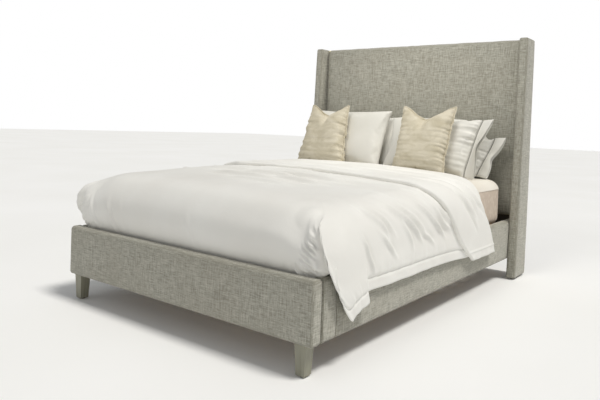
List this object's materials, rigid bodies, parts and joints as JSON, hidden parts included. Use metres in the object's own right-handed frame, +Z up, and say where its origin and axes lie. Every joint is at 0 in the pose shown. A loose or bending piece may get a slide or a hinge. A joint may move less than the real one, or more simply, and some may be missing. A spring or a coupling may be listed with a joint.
{
  "type": "upholstered bed",
  "caption": "Wingback upholstered platform bed with padded rails, tapered front legs, a slatted base, a mattress, a duvet tucked in at the foot, pillows and cushions.",
  "frame": {"origin": "on the floor, under the middle of the bounding box", "axes": "+X to the right as seen from the foot, +Y from the footboard to the headboard, +Z up"},
  "size_m": [1.76, 2.28, 1.6],
  "materials": {
    "linen_upholstery": "cross-woven linen blend, light greige, with slubs",
    "dust_cover": "non-woven dust cover, dark grey",
    "foam": "upholstery foam",
    "plywood": "raw plywood",
    "timber": "raw pine and poplar",
    "leg_finish": "taupe-grey stained wood, satin",
    "steel_hardware": "zinc-grey coated steel",
    "glide_plastic": "black moulded plastic",
    "webbing": "woven polyester tape",
    "mattress_ticking": "knitted mattress ticking",
    "sheet_cotton": "cotton percale, off-white",
    "duvet_cotton": "cotton sateen, white",
    "pillow_cotton": "cotton sateen, white",
    "cushion_velvet": "short-pile velvet, beige"
  },
  "bodies": {
    "bed": {"beam_brackets": "steel_hardware", "centre_beam": "timber", "corner_joint_plates": "steel_hardware", "duvet": "duvet_cotton", "fitted_sheet": "sheet_cotton", "footboard_core": "timber", "footboard_cover": "linen_upholstery", "front_centre_leg": "timber", "front_leg_glides": "glide_plastic", "headboard_back_panel": "dust_cover", "headboard_cover": "linen_upholstery", "headboard_cross_rails": "timber", "headboard_foam_pad": "foam", "headboard_front_board": "plywood", "headboard_rail_brackets": "steel_hardware", "headboard_stiles": "timber", "left_corner_block": "timber", "left_corner_cover": "linen_upholstery", "left_cushion": "cushion_velvet", "left_front_leg": "leg_finish", "left_front_pillow": "pillow_cotton", "left_rail_core": "timber", "left_rail_cover": "linen_upholstery", "left_rear_pillow": "pillow_cotton", "left_slat_ledger": "timber", "left_wing_core": "timber", "left_wing_cover": "linen_upholstery", "leg_hanger_bolts": "steel_hardware", "mattress": "mattress_ticking", "rail_bolts": "steel_hardware", "rear_centre_leg": "timber", "right_corner_block": "timber", "right_corner_cover": "linen_upholstery", "right_cushion": "cushion_velvet", "right_front_leg": "leg_finish", "right_front_pillow": "pillow_cotton", "right_rail_core": "timber", "right_rail_cover": "linen_upholstery", "right_rear_pillow": "pillow_cotton", "right_slat_ledger": "timber", "right_wing_core": "timber", "right_wing_cover": "linen_upholstery", "slat_01": "timber", "slat_02": "timber", "slat_03": "timber", "slat_04": "timber", "slat_05": "timber", "slat_06": "timber", "slat_07": "timber", "slat_08": "timber", "slat_09": "timber", "slat_10": "timber", "slat_11": "timber", "slat_12": "timber", "slat_13": "timber", "slat_tapes": "webbing", "wing_bolts": "steel_hardware", "wing_glides": "glide_plastic"},
    "front_foot": {"front_levelling_foot": "glide_plastic"},
    "rear_foot": {"rear_levelling_foot": "glide_plastic"}
  },
  "joints": [
    {"name": "front_foot_height", "type": "slide", "parent": "bed", "child": "front_foot", "axis": [0, 0, 1], "range_m": [-0.01, 0.01]},
    {"name": "rear_foot_height", "type": "slide", "parent": "bed", "child": "rear_foot", "axis": [0, 0, 1], "range_m": [-0.01, 0.01]}
  ]
}
